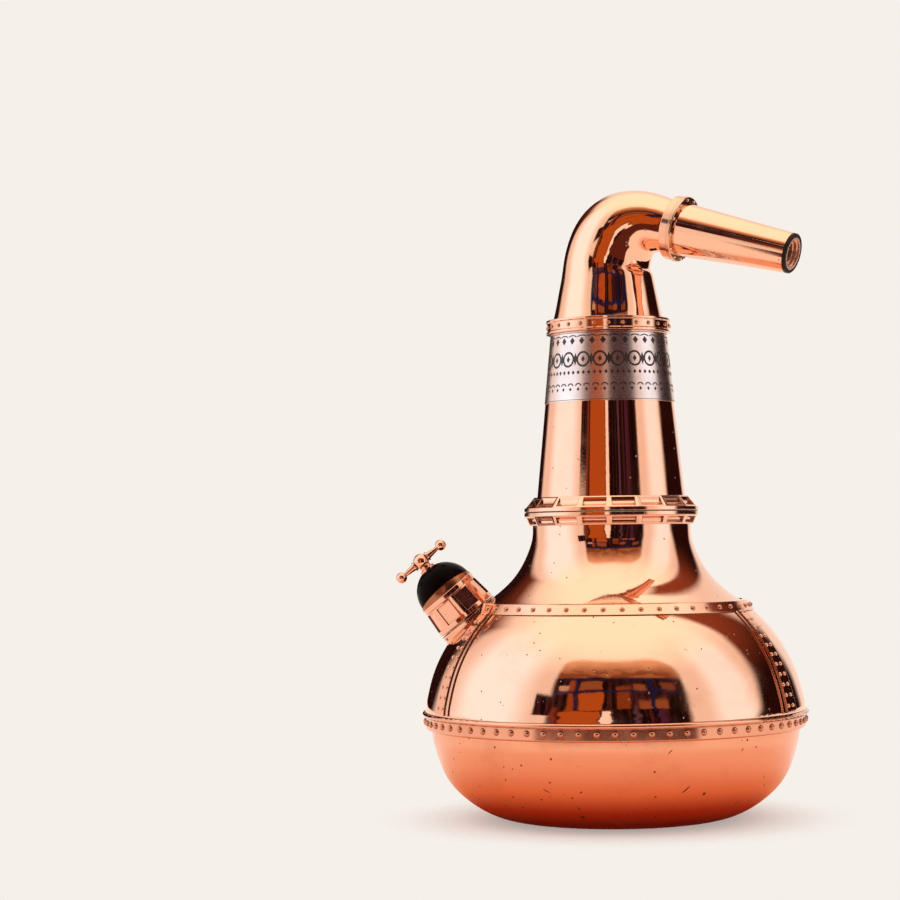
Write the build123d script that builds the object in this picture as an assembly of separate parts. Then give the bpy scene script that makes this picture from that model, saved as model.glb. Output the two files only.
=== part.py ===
from build123d import *
import os
from math import atan, cos, degrees, exp, hypot, pi, radians, sin, tan

# A copper pot-still decanter: a riveted pot, a tapered column, a swan neck with a sloping
# outlet arm, and a screw-capped filling spout on the pot's shoulder.
# Millimetres. +Z is up and the origin is the centre of the flat base, on the still's axis.
# The arm points mostly towards +X and the spout towards -X.
# A bearing is an angle about +Z from the front (-Y), positive towards +X.

# ---- Driving dimensions ----
WALL = 1.2                    # copper sheet thickness
FOOT_R = 31.0                 # flat part of the base
BOWL_R = 69.0                 # bowl where it enters the waist band
WAIST_LOW = 34.3              # lower edge of the waist band
WAIST_TOP = 40.9              # where bowl, band and shoulder meet
WAIST_FACE_R = 71.4
SHOULDER_R = 71.5             # shoulder at its lower edge
SHOULDER_TOP_R = 51.0
SHOULDER_TOP = 79.2           # where the shoulder meets the neck flare
NECK_R = 29.8                 # upper end of the neck flare
COLLAR_LOW = 110.2
COLLAR_MID = 115.0            # joint face of the two collar flanges
COLLAR_TOP = 120.8
COLLAR_R = 32.9
COLLAR_SIDES = 18
GASKET = 0.4
COLUMN_LOW_R = 28.5           # column radius at the collar joint
COLUMN_TAPER = 0.1013         # radius lost for each millimetre of height
LABEL_LOW = 156.2
LABEL_TOP = 182.3
LABEL_SKIN = 0.25
HEAD_LOW = 182.6              # riveted head band
HEAD_MID = 185.2              # where column and elbow meet inside it
HEAD_TOP = 187.7
HEAD_R = 23.1

ARM_BEARING = 64.0            # the arm points this way
ARM_SLOPE = 15.8              # and falls by this angle
ARM_AXIS_TOP = 229.1          # height at which the arm's line would cross the still's axis
ARM_START = 32.0              # along the arm's line, from the still's axis to the flange joint
ARM_END = 78.2                # the same, to the arm's end face
ARM_ROOT_R = 10.0
ARM_TIP_R = 7.4
BEND_R = 17.7                 # swan neck centreline radius
BEND_SWELL = 1.7              # extra tube radius at the middle of the bend
BEND_SHIFT = 0.8              # and how far the tube's centre moves outwards there
FLANGE_R = 12.3
OUTLET_R = 4.3                # bore of the outlet bush

SPOUT_BEARING = -86.0
SPOUT_TILT = 39.4             # from the vertical
SPOUT_RADIUS = 55.3           # the cap's lower edge: distance from the still's axis
SPOUT_HEIGHT = 76.6           # and height of its centre
SPOUT_BORE_R = 7.4
THREAD_ROOT_R = 8.9
THREAD_CREST_R = 9.6
THREAD_PITCH = 3.2
THREAD_TURNS = 1.6
SKIRT_LOW_R = 12.6
SKIRT_TOP_R = 11.5
BAND_TOP = 12.0
DOME_R = 11.2
CAP_PANELS = 8
HUB_H = 26.8                  # handle hub above the cap's lower edge
BAR_HALF = 9.6                # hub centre to ball centre

STRAP_BEARINGS = {"left": -61.3, "right": 61.3, "rear": 180.0}
STRAP_HALF = 4.0              # degrees
STRAP_LAP = 1.9               # degrees of thin lap along the strap's forward edge
STRAP_SKIN = 0.9
STRAP_LAP_SKIN = 0.45

WAIST_RIVETS = 70
SHOULDER_RIVETS = 48
STRAP_RIVETS = 11             # in each row
HEAD_RIVETS = 27
ARM_BOLTS = 12


# ---- Helpers ----
def turned(face, start=0.0, arc=360.0):
    """Revolve a face drawn as (radius, height) about the still's axis."""
    return Rot(0, 0, start) * revolve(Plane.XZ * face, Axis.Z, arc)


def beside(curve, distance, samples=9):
    """A spline beside an upward curve, outwards if the distance is positive."""
    if distance == 0:
        return curve
    points = []
    for step in range(samples):
        place = step / (samples - 1)
        along = curve % place
        points.append(curve @ place + Vector(along.Y, -along.X) * distance)
    return Spline(*points, tangents=(curve % 0, curve % 1))


def strip(curve, inner, outer):
    """The face between two offsets of a curve."""
    near = beside(curve, inner)
    far = beside(curve, outer)
    return make_face([near, Line(near @ 1, far @ 1), far, Line(far @ 0, near @ 0)])


def under(curve):
    """The face between a curve and the axis."""
    low = curve @ 0
    high = curve @ 1
    return make_face([curve, Polyline((high.X, high.Y), (0, high.Y), (0, low.Y), (low.X, low.Y))])


def ring(*corners):
    """A turned ring with the given (radius, height) corners."""
    return turned(make_face(Polyline(*corners, close=True)))


def rivet_head(radius, height):
    """A domed head standing on z = 0."""
    dome_r = (radius ** 2 + height ** 2) / (2 * height)
    ball = Pos(0, 0, height - dome_r) * Sphere(dome_r)
    keep = Pos(0, 0, height) * Box(4 * radius, 4 * radius, 2 * height)
    return ball & keep


def rivet_ring(count, radius, height, tilt, head, first=0.0):
    """Heads around the axis; tilt is the face's normal above the horizontal, in degrees."""
    heads = []
    for index in range(count):
        turn = first + index * 360 / count
        heads.append(Rot(0, 0, turn) * Pos(radius, 0, height) * Rot(0, 90 - tilt, 0) * head)
    return Compound(children=heads)


def from_bearing(bearing):
    """Angle about +Z from +X of a bearing counted from the front."""
    return bearing - 90.0


# ---- Outlines of the pot, as (radius, height) ----
bowl_curve = Spline(
    (FOOT_R, 0), (45.0, 1.7), (57.9, 9.4), (64.9, 18.5), (68.3, 28.9), (BOWL_R, WAIST_TOP - 3.2),
    tangents=((1, 0), (0, 1)),
)
shoulder_curve = Spline(
    (SHOULDER_R, WAIST_TOP), (70.6, 46.8), (67.4, 57.0), (61.0, 68.4), (SHOULDER_TOP_R, SHOULDER_TOP),
    tangents=((0, 1), (-0.75, 0.66)),
)
flare_curve = Spline(
    (SHOULDER_TOP_R - 0.6, SHOULDER_TOP + 1.1), (44.0, 84.3), (38.2, 89.5), (33.4, 96.5),
    (30.5, 103.6), (NECK_R, COLLAR_LOW),
    tangents=((-1, 0.42), (0, 1)),
)


# ---- Spout and arm frames ----
spout_turn = radians(from_bearing(SPOUT_BEARING))
spout_out = Vector(cos(spout_turn), sin(spout_turn), 0)
tilt = radians(SPOUT_TILT)
spout_axis = spout_out * sin(tilt) + Vector(0, 0, cos(tilt))
spout_down = spout_out * cos(tilt) - Vector(0, 0, sin(tilt))
spout_origin = spout_out * SPOUT_RADIUS + Vector(0, 0, SPOUT_HEIGHT)
# local z runs up the spout's axis, local x down and away from the pot, local y to the front
spout = Plane(origin=spout_origin, x_dir=spout_down, z_dir=spout_axis)

arm_turn = from_bearing(ARM_BEARING)
slope = radians(ARM_SLOPE)
# local z runs out along the arm's line
arm_place = Rot(0, 0, arm_turn) * Pos(0, 0, ARM_AXIS_TOP) * Rot(0, 90 + ARM_SLOPE, 0)


def spout_cut(radius, low, high):
    """A rod on the spout's axis, for cutting."""
    return spout * Pos(0, 0, (low + high) / 2) * Cylinder(radius, high - low)


def around_arm(face):
    """Revolve a face drawn as (radius, distance along the arm's line)."""
    return arm_place * turned(face)


# ---- Pot ----
SADDLE_TOP = -0.6
SADDLE_TOP_R = 12.5
SADDLE_LOW_R = 16.0
SADDLE_DEPTH = 9.0
NECK_FOOT = -5.5              # inner end of the spout's neck


def pot_bowl():
    rim = Line((BOWL_R, WAIST_TOP - 3.2), (BOWL_R, WAIST_TOP))
    inner = beside(bowl_curve, -WALL)
    inner_rim = Line((BOWL_R - WALL, WAIST_TOP), (BOWL_R - WALL, WAIST_TOP - 3.2))
    outline = [
        Line((0, 0), (FOOT_R, 0)), bowl_curve, rim,
        Line((BOWL_R, WAIST_TOP), (BOWL_R - WALL, WAIST_TOP)), inner_rim, inner,
        Line((FOOT_R, WALL), (0, WALL)), Line((0, WALL), (0, 0)),
    ]
    return turned(make_face(outline))


def waist_band():
    face_r = WAIST_FACE_R
    bead_r = 0.9
    bead_z = WAIST_TOP - 1.0
    strap = ring(
        (BOWL_R + 0.05, WAIST_LOW), (face_r - 0.5, WAIST_LOW), (face_r, WAIST_LOW + 0.5),
        (face_r, WAIST_TOP), (BOWL_R + 0.05, WAIST_TOP),
    )
    bead = turned(Pos(face_r + 0.3, bead_z) * Circle(bead_r))
    rounded = strap + bead
    return rounded - ring((60, WAIST_TOP), (80, WAIST_TOP), (80, WAIST_TOP + 5), (60, WAIST_TOP + 5))


def waist_rivets():
    return rivet_ring(WAIST_RIVETS, WAIST_FACE_R, WAIST_LOW + 2.8, 0, rivet_head(1.2, 0.9), first=-90)


shoulder_ring = turned(strip(shoulder_curve, -WALL, 0))


def shoulder_panel(start, end):
    """The shoulder's sheet between two bearings, with the spout's hole where it meets it."""
    panel = turned(strip(shoulder_curve, -WALL, 0), from_bearing(start), end - start)
    return panel - spout_cut(THREAD_ROOT_R, NECK_FOOT - 3, 8) - cap_room()


def flare_shell():
    """The neck flare with its upright end, before the spout's hole."""
    end = make_face(Polyline(
        (NECK_R, COLLAR_LOW), (NECK_R, COLLAR_MID), (NECK_R - WALL, COLLAR_MID),
        (NECK_R - WALL, COLLAR_LOW), close=True,
    ))
    return turned(strip(flare_curve, -WALL, 0)) + turned(end) - shoulder_ring


def pot_solid():
    """The pot's outside above the waist, filled, for trimming what stands on it."""
    foot = flare_curve @ 0
    joint = ring((0, SHOULDER_TOP), (SHOULDER_TOP_R, SHOULDER_TOP), (foot.X, foot.Y), (0, foot.Y))
    return turned(under(shoulder_curve)) + joint + turned(under(flare_curve))


def cap_room():
    """The cap's room above the saddle, which nothing on the pot enters."""
    return spout_cut(SKIRT_LOW_R + 0.4, SADDLE_TOP, 2 * BAND_TOP)


def saddle_cone(extra=0.0):
    low = SADDLE_TOP - SADDLE_DEPTH
    profile = make_face(Polyline(
        (0, SADDLE_TOP), (SADDLE_TOP_R + extra, SADDLE_TOP), (SADDLE_TOP_R + extra, SADDLE_TOP - 2.3),
        (SADDLE_LOW_R + extra, low), (0, low), close=True,
    ))
    return spout * turned(profile)


def spout_saddle():
    return saddle_cone() - pot_solid() - spout_cut(THREAD_ROOT_R, -20, 10)


def spout_saddle_rivets():
    head = rivet_head(0.6, 0.5)
    heads = []
    for turn in (25, -25):
        place = Rot(0, 0, turn) * Pos(SADDLE_TOP_R, 0, SADDLE_TOP - 1.2) * Rot(0, 90, 0)
        heads.append(spout * place * head)
    return Compound(children=heads)


def neck_flare():
    return flare_shell() - spout_cut(THREAD_ROOT_R, NECK_FOOT - 3, 8) - cap_room()


BAND_FOOT = (SHOULDER_TOP_R + 1.9, SHOULDER_TOP - 1.3)
BAND_HEAD = (SHOULDER_TOP_R - 0.7, SHOULDER_TOP + 2.4)


def shoulder_band():
    band = ring(
        (SHOULDER_TOP_R - 2.5, SHOULDER_TOP - 2.0), BAND_FOOT, BAND_HEAD,
        (SHOULDER_TOP_R - 2.4, SHOULDER_TOP + 2.6),
    )
    return band - pot_solid() - saddle_cone(0.02) - cap_room()


def shoulder_rivets():
    middle_r = (BAND_FOOT[0] + BAND_HEAD[0]) / 2
    middle_z = (BAND_FOOT[1] + BAND_HEAD[1]) / 2
    lean = degrees(atan((BAND_FOOT[0] - BAND_HEAD[0]) / (BAND_HEAD[1] - BAND_FOOT[1])))
    heads = rivet_ring(SHOULDER_RIVETS, middle_r + 0.01, middle_z, lean, rivet_head(1.0, 0.7), first=-86.4)
    kept = [head for head in heads.solids() if (head.center() - spout_origin).length > SADDLE_LOW_R + 0.5]
    return Compound(children=kept)


def band_trim():
    """Everything at or above the shoulder band, for trimming the straps under it."""
    return ring(
        (SHOULDER_TOP_R - 3.5, SHOULDER_TOP - 2.0), BAND_FOOT, (BAND_FOOT[0] + 4, BAND_FOOT[1] + 4),
        (SHOULDER_TOP_R - 3.5, SHOULDER_TOP + 6),
    )


def seam_strap(bearing):
    """A strap over a seam, with a thin lap along its forward edge."""
    start = from_bearing(bearing) - STRAP_HALF
    lap_plate = turned(strip(shoulder_curve, 0, STRAP_LAP_SKIN), start, 2 * STRAP_HALF)
    plate_start = start + STRAP_LAP if bearing >= 0 else start
    plate = turned(strip(shoulder_curve, 0, STRAP_SKIN), plate_start, 2 * STRAP_HALF - STRAP_LAP)
    foot = ring((60, WAIST_TOP - 2), (80, WAIST_TOP - 2), (80, WAIST_TOP + 0.5), (60, WAIST_TOP + 0.5))
    return (lap_plate + plate) - foot - band_trim() - saddle_cone(0.02) - cap_room()


def seam_rivets(bearing):
    """Two rows of heads, one beside the lap and one near the strap's rear edge."""
    head = rivet_head(0.75, 0.55)
    row = beside(shoulder_curve, STRAP_SKIN + 0.01)
    rearward = 1 if bearing >= 0 else -1
    heads = []
    for offset in (STRAP_LAP + 1.0 - STRAP_HALF, STRAP_HALF - 2.1):
        turn = from_bearing(bearing) + rearward * offset
        for index in range(STRAP_RIVETS):
            place = (index + 0.8) / (STRAP_RIVETS + 0.6)
            spot = row @ place
            along = row % place
            lean = degrees(atan(-along.X / along.Y))
            solid = Rot(0, 0, turn) * Pos(spot.X, 0, spot.Y) * Rot(0, 90 - lean, 0) * head
            if (solid.center() - spout_origin).length > SADDLE_LOW_R + 0.5:
                heads.append(solid)
    return Compound(children=heads)


# ---- Collar ----
SCOOP_DEPTH = 0.85
SCOOP_RIM = 0.6               # flat left above and below each scoop
SCOOP_RIB = 2.0               # rib left between neighbouring scoops


def collar_facets(low, high, low_r, high_r):
    """A tapered ring with flat sides, each with a scooped-out panel."""
    turn = from_bearing(-1.5)
    faces = []
    for height, radius in ((low, low_r), (high, high_r)):
        outline = RegularPolygon(radius, COLLAR_SIDES, major_radius=False, rotation=turn)
        faces.append(Pos(0, 0, height) * outline)
    body = loft([faces[0].face(), faces[1].face()])
    middle_r = (low_r + high_r) / 2
    side = 2 * middle_r * tan(pi / COLLAR_SIDES)
    slant = hypot(high - low, high_r - low_r)
    lean = degrees(atan((high_r - low_r) / (high - low)))
    chord = slant - 2 * SCOOP_RIM
    scoop_r = (chord ** 2 / 4 + SCOOP_DEPTH ** 2) / (2 * SCOOP_DEPTH)
    scoop = Pos(scoop_r - SCOOP_DEPTH, 0, 0) * Rot(90, 0, 0) * Cylinder(scoop_r, side - SCOOP_RIB)
    scoops = []
    for index in range(COLLAR_SIDES):
        facing = turn + (index + 0.5) * 360 / COLLAR_SIDES
        scoops.append(Rot(0, 0, facing) * Pos(middle_r, 0, (low + high) / 2) * Rot(0, lean, 0) * scoop)
    return body - scoops


def collar_lower_flange():
    ridge_low = COLLAR_LOW + 3.4
    facets = collar_facets(COLLAR_LOW, ridge_low, 30.7, COLLAR_R - 0.7)
    ridge = ring((10, ridge_low), (COLLAR_R, ridge_low), (COLLAR_R, COLLAR_MID), (10, COLLAR_MID))
    return facets + ridge - Pos(0, 0, COLLAR_MID) * Cylinder(NECK_R, 20)


def collar_gasket():
    low = COLLAR_MID
    high = low + GASKET
    return ring((26.8, low), (COLLAR_R - 0.5, low), (COLLAR_R - 0.5, high), (26.8, high))


def column_radius(height):
    return COLUMN_LOW_R - COLUMN_TAPER * (height - COLLAR_MID - GASKET)


def column_cone(low, high, extra=0.0):
    """A filled cone that follows the column's outside."""
    return ring((0, low), (column_radius(low) + extra, low), (column_radius(high) + extra, high), (0, high))


def collar_upper_flange():
    low = COLLAR_MID + GASKET
    ridge_top = low + 1.4
    facets = collar_facets(ridge_top, COLLAR_TOP, COLLAR_R - 0.8, 28.9)
    ridge = ring((10, low), (COLLAR_R, low), (COLLAR_R, ridge_top), (10, ridge_top))
    return facets + ridge - column_cone(low - 1, COLLAR_TOP + 1)


# ---- Column and head ----
def column():
    low = COLLAR_MID + GASKET
    return column_cone(low, HEAD_MID) - column_cone(low - 1, HEAD_MID + 1, -WALL)


def label_sleeve():
    return column_cone(LABEL_LOW, LABEL_TOP, LABEL_SKIN) - column_cone(LABEL_LOW - 1, LABEL_TOP + 1)


def head_band():
    edge = 0.8
    outline = make_face(Polyline(
        (HEAD_R - 2.5, HEAD_LOW), (HEAD_R + 0.4, HEAD_LOW), (HEAD_R + 0.4, HEAD_LOW + edge),
        (HEAD_R, HEAD_LOW + edge + 0.3), (HEAD_R, HEAD_TOP - edge - 0.3),
        (HEAD_R + 0.4, HEAD_TOP - edge), (HEAD_R + 0.4, HEAD_TOP), (HEAD_R - 2.5, HEAD_TOP), close=True,
    ))
    return turned(outline) - column_cone(HEAD_LOW - 1, HEAD_MID) - elbow_solid(0)


def head_rivets():
    middle = (HEAD_LOW + HEAD_TOP) / 2
    return rivet_ring(HEAD_RIVETS, HEAD_R, middle, 0, rivet_head(0.8, 0.6), first=-90)


BEND_TURN = 90 + ARM_SLOPE    # degrees from upright to the arm's line
BEND_LOW = ARM_AXIS_TOP - BEND_R * (1 + sin(slope)) * tan(slope) - BEND_R * cos(slope)
RISER = BEND_LOW - HEAD_MID
BEND = BEND_R * radians(BEND_TURN)
NECK_RUN = RISER + BEND + ARM_START - BEND_R * (1 + sin(slope)) / cos(slope)
NECK_SECTIONS = 17


def bend_bulge(distance):
    """0 outside the bend, rising to 1 at its middle."""
    share = (distance - RISER) / BEND
    if 0 < share < 1:
        return sin(pi * share) ** 2
    return 0.0


def swan_radius(distance):
    """The taper along the centreline, with a flared foot and a swollen bend."""
    foot_r = 21.2
    end_r = ARM_ROOT_R - 0.2
    left = max(0.0, 1 - distance / (0.93 * NECK_RUN))
    flare = 0.4 * exp(-(distance / 4) ** 2)
    return end_r + (foot_r - end_r) * left + flare + BEND_SWELL * bend_bulge(distance)


def swan_section(distance, skin):
    """A round section at a distance along the centreline: riser, bend, then the arm's line."""
    if distance < RISER:
        level, height, heading = 0, HEAD_MID + distance, 0
    elif distance < RISER + BEND:
        heading = (distance - RISER) / BEND_R
        centre_r = BEND_R + BEND_SHIFT * bend_bulge(distance)
        level = BEND_R - centre_r * cos(heading)
        height = BEND_LOW + centre_r * sin(heading)
    else:
        heading = radians(BEND_TURN)
        reach = ARM_START - (NECK_RUN - distance)
        level = reach * cos(slope)
        height = ARM_AXIS_TOP - reach * sin(slope)
    out = Vector(cos(radians(arm_turn)), sin(radians(arm_turn)), 0)
    side = Vector(0, 0, 1).cross(out)
    along = out * sin(heading) + Vector(0, 0, cos(heading))
    place = Plane(origin=out * level + Vector(0, 0, height), x_dir=side, z_dir=along)
    return (place * Circle(swan_radius(distance) - skin)).face()


def elbow_solid(skin, overrun=0.0):
    """The swan neck's outside moved in by skin, filled; overrun lengthens it past both ends."""
    sections = []
    for index in range(NECK_SECTIONS):
        share = index / (NECK_SECTIONS - 1)
        sections.append(swan_section(-overrun + share * (NECK_RUN + 2 * overrun), skin))
    return loft(sections)


def swan_neck_elbow():
    return elbow_solid(0) - elbow_solid(WALL, 1.5)


# ---- Arm, drawn as (radius, distance along its line) ----
FLANGE_INNER = 3.4
FLANGE_OUTER = 1.4
END_RING = 1.2


def arm_radius(distance):
    share = (distance - ARM_START) / (ARM_END - ARM_START)
    return ARM_ROOT_R + (ARM_TIP_R - ARM_ROOT_R) * share


def arm_cone(low, high, extra=0.0):
    """A filled cone that follows the arm's outside."""
    corners = ((0, low), (arm_radius(low) + extra, low), (arm_radius(high) + extra, high), (0, high))
    return around_arm(make_face(Polyline(*corners, close=True)))


def around_arm_ring(*corners):
    return around_arm(make_face(Polyline(*corners, close=True)))


def arm_flange_inner():
    low = ARM_START - FLANGE_INNER
    edge = 0.4
    body = around_arm_ring(
        (5, low), (FLANGE_R - 0.9, low), (FLANGE_R - 0.3, low + edge),
        (FLANGE_R - 0.3, ARM_START), (5, ARM_START),
    )
    return body - elbow_solid(0)


def arm_flange_outer():
    high = ARM_START + FLANGE_OUTER
    edge = 0.3
    body = around_arm_ring(
        (5, ARM_START), (FLANGE_R, ARM_START), (FLANGE_R, high - edge), (FLANGE_R - edge, high), (5, high),
    )
    return body - arm_cone(ARM_START - 1, high + 1)


def arm_flange_bolts():
    circle_r = (FLANGE_R + ARM_ROOT_R) / 2
    head = rivet_head(0.6, 0.5)
    heads = []
    for index in range(ARM_BOLTS):
        turn = (index + 0.5) * 360 / ARM_BOLTS
        heads.append(arm_place * Rot(0, 0, turn) * Pos(circle_r, 0, ARM_START + FLANGE_OUTER) * head)
    return Compound(children=heads)


def lyne_arm():
    high = ARM_END - END_RING
    return arm_cone(ARM_START, high) - arm_cone(ARM_START - 1, high + 1, -WALL)


BUSH_R = 6.0
BUSH_BACK = 12.0              # length of the outlet bush behind the arm's end


def arm_end_ring():
    low = ARM_END - END_RING
    edge = 0.3
    return around_arm_ring(
        (BUSH_R, low), (ARM_TIP_R, low), (ARM_TIP_R, ARM_END - edge),
        (ARM_TIP_R - edge, ARM_END), (BUSH_R, ARM_END),
    )


def arm_end_bush():
    """A stepped bush; its collar fills the space to the arm's wall."""
    seat = ARM_END - END_RING
    back = ARM_END - BUSH_BACK
    collar = 4.0
    first_step = ARM_END - 1.0
    last_step = ARM_END - 2.4
    body = around_arm_ring(
        (OUTLET_R + 0.9, ARM_END), (BUSH_R, ARM_END), (BUSH_R, seat), (arm_radius(seat) - WALL, seat),
        (arm_radius(seat - collar) - WALL, seat - collar), (BUSH_R, seat - collar), (BUSH_R, back),
        (OUTLET_R, back), (OUTLET_R, last_step), (OUTLET_R + 0.45, last_step),
        (OUTLET_R + 0.45, first_step), (OUTLET_R + 0.9, first_step),
    )
    groove = around_arm_ring(
        (OUTLET_R - 1, ARM_END - 5.2), (OUTLET_R + 0.4, ARM_END - 5.2), (OUTLET_R + 0.4, ARM_END - 4.4),
        (OUTLET_R - 1, ARM_END - 4.4),
    )
    return body - groove


# ---- Spout and cap, drawn about the spout's own axis ----
LINER_LOW = 9.4               # the neck's rim and the liner's sealing face
LINER_T = 1.2
INSERT_R = 10.3
INSERT_LOW = 0.4
THREAD_GAP = 0.35


def thread_ridge(root, crest, low, turns, half_root, half_crest):
    """A helical ridge with a trapezoid section, from the root radius to the crest radius."""
    path = Helix(pitch=THREAD_PITCH, height=turns * THREAD_PITCH, radius=root)
    start = path @ 0
    along = path % 0
    frame = Plane(origin=start, x_dir=(1, 0, 0), z_dir=along)
    step = crest - root
    section = frame * make_face(Polyline(
        (0, -half_root), (0, half_root), (step, half_crest), (step, -half_crest), close=True,
    ))
    return Pos(0, 0, low) * sweep(section, path=path, is_frenet=True)


def spout_neck():
    """The threaded neck that the cap screws on."""
    rim = LINER_LOW
    lip = 0.4
    tube = turned(make_face(Polyline(
        (SPOUT_BORE_R, NECK_FOOT), (THREAD_ROOT_R, NECK_FOOT), (THREAD_ROOT_R, rim - lip),
        (THREAD_ROOT_R - lip, rim), (SPOUT_BORE_R, rim), close=True,
    )))
    thread = thread_ridge(THREAD_ROOT_R - 0.2, THREAD_CREST_R, 2.6, THREAD_TURNS, 0.8, 0.35)
    return spout * (tube + thread)


def cap_liner():
    return spout * Pos(0, 0, LINER_LOW + LINER_T / 2) * Cylinder(INSERT_R - 1.2, LINER_T)


def cap_insert():
    """The threaded insert inside the cap."""
    bore_r = THREAD_CREST_R + THREAD_GAP
    ceiling = LINER_LOW + LINER_T
    top = BAND_TOP
    shell = turned(make_face(Polyline(
        (bore_r, INSERT_LOW), (INSERT_R, INSERT_LOW), (INSERT_R, top), (0, top), (0, ceiling),
        (bore_r, ceiling), close=True,
    )))
    low = 2.6 + THREAD_PITCH / 2 - THREAD_PITCH
    thread = thread_ridge(bore_r + 0.2, THREAD_ROOT_R + THREAD_GAP, low, THREAD_TURNS, 0.8, 0.35)
    return spout * (shell + thread)


PANEL_WIDTH = 6.2
PANEL_DEPTH = 1.0
PANEL_LOW = 1.9               # plain rim under the sunk panels
PANEL_RIM = 0.5               # and above them


def cap_skirt():
    """A tapered skirt with sunk flat panels between upright posts."""
    outer = turned(make_face(Polyline(
        (INSERT_R, 0), (SKIRT_LOW_R - 0.3, 0), (SKIRT_LOW_R, 0.3), (SKIRT_LOW_R - 0.25, 2.0),
        (SKIRT_TOP_R, BAND_TOP - 2.1), (INSERT_R, BAND_TOP - 2.1), close=True,
    )))
    middle_r = (SKIRT_LOW_R + SKIRT_TOP_R) / 2
    height = BAND_TOP - 2.1
    lean = -degrees(atan((SKIRT_LOW_R - SKIRT_TOP_R) / height))
    panel_h = height - PANEL_LOW - PANEL_RIM
    pocket = Pos(PANEL_DEPTH, 0, 0) * Box(4 * PANEL_DEPTH, PANEL_WIDTH, panel_h)
    middle_z = PANEL_LOW + panel_h / 2
    pockets = []
    for index in range(CAP_PANELS):
        turn = (index + 0.5) * 360 / CAP_PANELS
        pockets.append(Rot(0, 0, turn) * Pos(middle_r, 0, middle_z) * Rot(0, lean, 0) * pocket)
    return spout * (outer - pockets)


def cap_band():
    low = BAND_TOP - 2.1
    edge = 0.25
    return spout * turned(make_face(Polyline(
        (INSERT_R, low), (SKIRT_TOP_R - 0.1, low), (SKIRT_TOP_R + 0.1, low + edge),
        (SKIRT_TOP_R + 0.1, BAND_TOP - edge), (SKIRT_TOP_R - 0.1, BAND_TOP), (INSERT_R, BAND_TOP),
        close=True,
    )))


def half_ball(radius):
    """A half ball standing on the cap's band."""
    upper = Pos(0, 0, radius) * Box(3 * radius, 3 * radius, 2 * radius)
    return Pos(0, 0, BAND_TOP) * (Sphere(radius) & upper)


def cap_dome():
    return spout * half_ball(DOME_R)


def cap_dome_lips():
    """Thin crescents over the dome's foot, one at the front and one behind."""
    skin = half_ball(DOME_R + 0.3) - half_ball(DOME_R)
    rise = 13.5
    wedge = Pos(0, 0, -20) * Box(60, 60, 40)
    foot = Pos(0, 0, BAND_TOP)
    front = skin & (foot * Rot(rise, 0, 0) * wedge)
    rear = skin & (foot * Rot(-rise, 0, 0) * wedge)
    return spout * (front + rear)


# ---- Cap handle ----
HUB_R = 3.0
BALL_R = 2.1
STEM_R = 2.2
BAR_ROOT_R = 1.35
BAR_TIP_R = 0.8


HUB_FLAT = 2.75               # the bars seat on flats this far from the hub's centre
BALL_SEAT = BAR_HALF - (BALL_R ** 2 - BAR_TIP_R ** 2) ** 0.5


def handle_hub():
    return spout * Pos(0, 0, HUB_H) * (Sphere(HUB_R) & Box(2 * HUB_FLAT, 4 * HUB_R, 4 * HUB_R))


def handle_stem():
    apex = BAND_TOP + DOME_R
    foot_low = apex - 0.5
    profile = make_face(Polyline(
        (0, foot_low), (STEM_R + 0.9, foot_low), (STEM_R + 0.9, apex + 0.3), (STEM_R, apex + 0.5),
        (STEM_R, HUB_H), (0, HUB_H), close=True,
    ))
    ball = Pos(0, 0, HUB_H) * Sphere(HUB_R)
    return spout * (turned(profile) - half_ball(DOME_R) - ball)


def bar_place(side):
    """The bar's own frame: z runs out along it; side is +1 or -1 along the spout's x."""
    return spout * Pos(0, 0, HUB_H) * Rot(0, 90 * side, 0)


def handle_arm(side):
    """A tapered bar with a collar against the hub."""
    collar_r = BAR_ROOT_R + 0.5
    collar_top = HUB_FLAT + 0.7
    outline = Polyline(
        (0, HUB_FLAT), (collar_r, HUB_FLAT), (collar_r, collar_top), (BAR_ROOT_R, collar_top),
        (BAR_TIP_R, BALL_SEAT), (0, BALL_SEAT), close=True,
    )
    return bar_place(side) * turned(make_face(outline))


def handle_ball(side):
    outside = Pos(0, 0, BALL_SEAT + 2 * BALL_R) * Box(4 * BALL_R, 4 * BALL_R, 4 * BALL_R)
    return bar_place(side) * (Pos(0, 0, BAR_HALF) * Sphere(BALL_R) & outside)


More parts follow.
